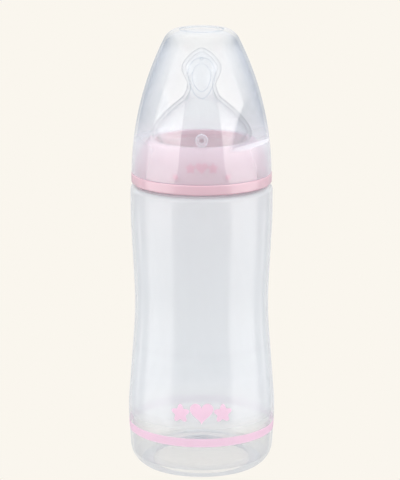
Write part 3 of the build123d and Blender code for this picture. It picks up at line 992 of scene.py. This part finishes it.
def make_cap():
    """The cap: an ogive with two grip flats above a ledge, and a sunk top disc."""
    outer = cap_side(CAP_RIM_Z + 0.35, CAP_SIDE_TOP_Z, 0, FLAT_LEDGE_Z)
    corner = arc_through(outer[-1], (14.5, 193.1), (CAP_CORNER_RADIUS, CAP_TOP_Z), 12)
    top = divided(rounded(((CAP_CORNER_RADIUS, CAP_TOP_Z, 0), (9.9, CAP_TOP_Z, 0.3),
                           (CAP_DISC_RADIUS, CAP_DISC_Z, 0.3), (0, CAP_DISC_Z, 0))), 1.5)
    inner_top = Vector((CAP_INNER_TOP_RADIUS, CAP_INNER_TOP_Z))
    under = divided([Vector((0, CAP_INNER_TOP_Z)), inner_top], 1.5)
    inner = cap_side(CAP_RIM_Z + 0.2, CAP_INNER_SIDE_TOP_Z, CAP_WALL, FLAT_LEDGE_Z - CAP_WALL)
    inner_corner = arc_through(inner[-1], (13.3, 192.0), inner_top, 12)
    rim = rounded(((*inner[0], 0), (inner[0].x + 0.02, CAP_RIM_Z, 0.3),
                   (outer[0].x, CAP_RIM_Z, 0.3), (*outer[0], 0)))
    outline = outer + corner[1:] + top[1:]
    outside_count = len(outline)
    outline += under + inner_corner[::-1][1:] + inner[::-1][1:] + rim[1:-1]

    def with_flats(angle, radius, z, index):
        inset = CAP_WALL if index >= outside_count else 0
        ledge = FLAT_LEDGE_Z - inset
        facing = abs(cos(angle - FLAT_ANGLE))
        if facing > 0.5 and z > ledge - LEDGE_HALF_HEIGHT:
            flat = soft_min(radius, (FLAT_DISTANCE - inset) / facing, FLAT_BLEND)
            radius += (flat - radius) * step_up(z, ledge - LEDGE_HALF_HEIGHT,
                                                ledge + LEDGE_HALF_HEIGHT)
        return radius * cos(angle), radius * sin(angle), z

    builder = bmesh.new()
    lathe(builder, outline, segments=400, shape=with_flats)
    piece = mesh_object("cap_shell", builder, CAP_PLASTIC, "protective_cap")
    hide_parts("protective_cap")


def make_cap_top():
    """The two thin rings on the cap's sunk top disc, in a slightly darker clear plastic: painted
    shade along their lines.
    """
    builder = bmesh.new()
    for radius, height, thickness in CAP_DISC_RINGS:
        bead(builder, circle((0, 0, height), radius, (0, 1, 0), 96), thickness,
             Vector((0, 0, 1)))
    mesh_object("cap_top_ring", builder, CAP_SHADED_RELIEF, "protective_cap")


make_bottle()
make_gate_mark()
make_stripe()
make_front_mark()
make_ring()
make_ring_mark()
make_teat()
make_teat_relief()
make_vent()
make_cap()
make_cap_top()


# ---- Studio ----

CREAM = (0.956, 0.922, 0.855)
COOL_WHITE = (0.985, 0.99, 1.0)
CARD_WHITE = (1.0, 0.97, 0.955)
FLOOR_HALF = 8.0
FLOOR_Z = -5e-5
FLOOR_STRENGTH = 0.8
WORLD_STRENGTH = 0.82


def seen_and_lighting(tree, seen, lighting, output):
    """Shows one shader to the camera, and lights the object and its reflections by another."""
    path = tree.nodes.new("ShaderNodeLightPath")
    mix = tree.nodes.new("ShaderNodeMixShader")
    tree.links.new(path.outputs["Is Camera Ray"], mix.inputs["Fac"])
    tree.links.new(lighting, mix.inputs[1])
    tree.links.new(seen, mix.inputs[2])
    tree.links.new(mix.outputs["Shader"], output.inputs["Surface"])


def make_floor():
    """A wide pale floor just under the foot."""
    mesh = bpy.data.meshes.new("floor")
    corners = [(x * FLOOR_HALF, y * FLOOR_HALF, FLOOR_Z)
               for x, y in ((-1, -1), (1, -1), (1, 1), (-1, 1))]
    mesh.from_pydata(corners, [], [(0, 1, 2, 3)])
    floor = bpy.data.objects.new("floor", mesh)
    bpy.context.collection.objects.link(floor)
    floor.visible_glossy = False
    nodes = Nodes("pale_floor")
    seen = nodes.add("Emission")
    seen.inputs["Color"].default_value = (*CREAM, 1)
    lighting = nodes.add("Emission")
    lighting.inputs["Color"].default_value = (*COOL_WHITE, 1)
    lighting.inputs["Strength"].default_value = FLOOR_STRENGTH
    seen_and_lighting(nodes.tree, seen.outputs["Emission"], lighting.outputs["Emission"],
                      nodes.output)
    mesh.materials.append(nodes.material)


def make_world():
    """A plain pale surround."""
    world = bpy.data.worlds.new("studio")
    bpy.context.scene.world = world
    world.use_nodes = True
    tree = world.node_tree
    tree.nodes.clear()
    output = tree.nodes.new("ShaderNodeOutputWorld")
    seen = tree.nodes.new("ShaderNodeBackground")
    seen.inputs["Color"].default_value = (*CREAM, 1)
    lighting = tree.nodes.new("ShaderNodeBackground")
    lighting.inputs["Color"].default_value = (*COOL_WHITE, 1)
    lighting.inputs["Strength"].default_value = WORLD_STRENGTH
    seen_and_lighting(tree, seen.outputs["Background"], lighting.outputs["Background"], output)


def softbox(name, place, aim, width, height, radiance):
    """A soft rectangular light at a place, turned to an aim."""
    data = bpy.data.lights.new(name, "AREA")
    data.shape = "RECTANGLE"
    data.size = width
    data.size_y = height
    data.energy = radiance * pi * width * height
    light = bpy.data.objects.new(name, data)
    light.location = place
    light.rotation_euler = (aim - place).to_track_quat("-Z", "Y").to_euler()
    light.visible_camera = False
    light.visible_glossy = False
    bpy.context.collection.objects.link(light)


# Rows of a card: elevation, near and far azimuth, all in degrees, and radiance.
SIDE_CARD = ((-60, 49, 102, 0.8), (-27, 49, 102, 1.2), (-20, 49, 102, 2.8),
             (-14, 49, 102, 3.0), (-5, 38, 102, 2.3), (6, 36, 93, 3.9), (20, 33, 84, 2.0),
             (45, 25, 75, 0.7))
RIM_CARD = ((-60, 118, 125, 0.6), (-24, 118, 125, 0.9), (-14, 118, 125, 3.0))
CARD_DISTANCE = 1.0
CARD_CENTRE_Z = 0.15
CARD_ROW_STEPS = 7
CARD_COLUMNS = 12


def light_card(name, side, rows):
    """A curved lit card beside the bottle, through rows like those above."""
    builder = bmesh.new()
    radiance = builder.verts.layers.float_color.new("radiance")
    lines = []
    for (low, *first), (high, *second) in zip(rows, rows[1:]):
        for step in range(CARD_ROW_STEPS + 1):
            share = step / CARD_ROW_STEPS
            elevation = radians(low + (high - low) * share)
            near, far, glow = (a + (b - a) * share for a, b in zip(first, second))
            line = []
            for column in range(CARD_COLUMNS + 1):
                azimuth = radians(near + (far - near) * column / CARD_COLUMNS) * side
                flat = CARD_DISTANCE * cos(elevation)
                line.append(builder.verts.new((
                    flat * sin(azimuth), -flat * cos(azimuth),
                    CARD_CENTRE_Z + CARD_DISTANCE * sin(elevation))))
            for vert in line:
                vert[radiance] = (glow, glow, glow, 1)
            lines.append(line)
    for low, high in zip(lines, lines[1:]):
        for column in range(CARD_COLUMNS):
            builder.faces.new((low[column], low[column + 1], high[column + 1], high[column]))
    bmesh.ops.remove_doubles(builder, verts=builder.verts, dist=1e-6)
    mesh = bpy.data.meshes.new(name)
    builder.to_mesh(mesh)
    builder.free()
    nodes = Nodes(name)
    glow = nodes.add("Emission")
    glow.inputs["Color"].default_value = (*CARD_WHITE, 1)
    level = nodes.add("Attribute")
    level.attribute_name = "radiance"
    nodes.link(level.outputs["Fac"], glow.inputs["Strength"])
    nodes.link(glow.outputs["Emission"], nodes.output.inputs["Surface"])
    mesh.materials.append(nodes.material)
    card = bpy.data.objects.new(name, mesh)
    card.visible_camera = False
    bpy.context.collection.objects.link(card)


FOCAL_LENGTH = 167.7
SENSOR_WIDTH = 36
CAMERA_PLACE = (-0.0007, -0.9606, 0.3314)
LOOKING_DOWN = radians(13.487)


def make_camera():
    data = bpy.data.cameras.new("camera")
    data.lens = FOCAL_LENGTH
    data.sensor_width = SENSOR_WIDTH
    camera = bpy.data.objects.new("camera", data)
    camera.location = CAMERA_PLACE
    camera.rotation_euler = (pi / 2 - LOOKING_DOWN, 0, 0)
    bpy.context.collection.objects.link(camera)
    bpy.context.scene.camera = camera


make_floor()
make_world()
for side, name in ((-1, "left"), (1, "right")):
    light_card(name + "_card", side, SIDE_CARD)
    light_card(name + "_rim_card", side, RIM_CARD)
softbox("top_softbox", place=Vector((0, -0.1, 1.1)), aim=Vector((0, 0, CARD_CENTRE_Z)),
        width=0.9, height=0.9, radiance=7.0)
make_camera()

scene = bpy.context.scene
scene.view_settings.view_transform = "Standard"
scene.cycles.max_bounces = 32
scene.cycles.transmission_bounces = 32
scene.cycles.transparent_max_bounces = 24
scene.cycles.glossy_bounces = 8
scene.cycles.diffuse_bounces = 6
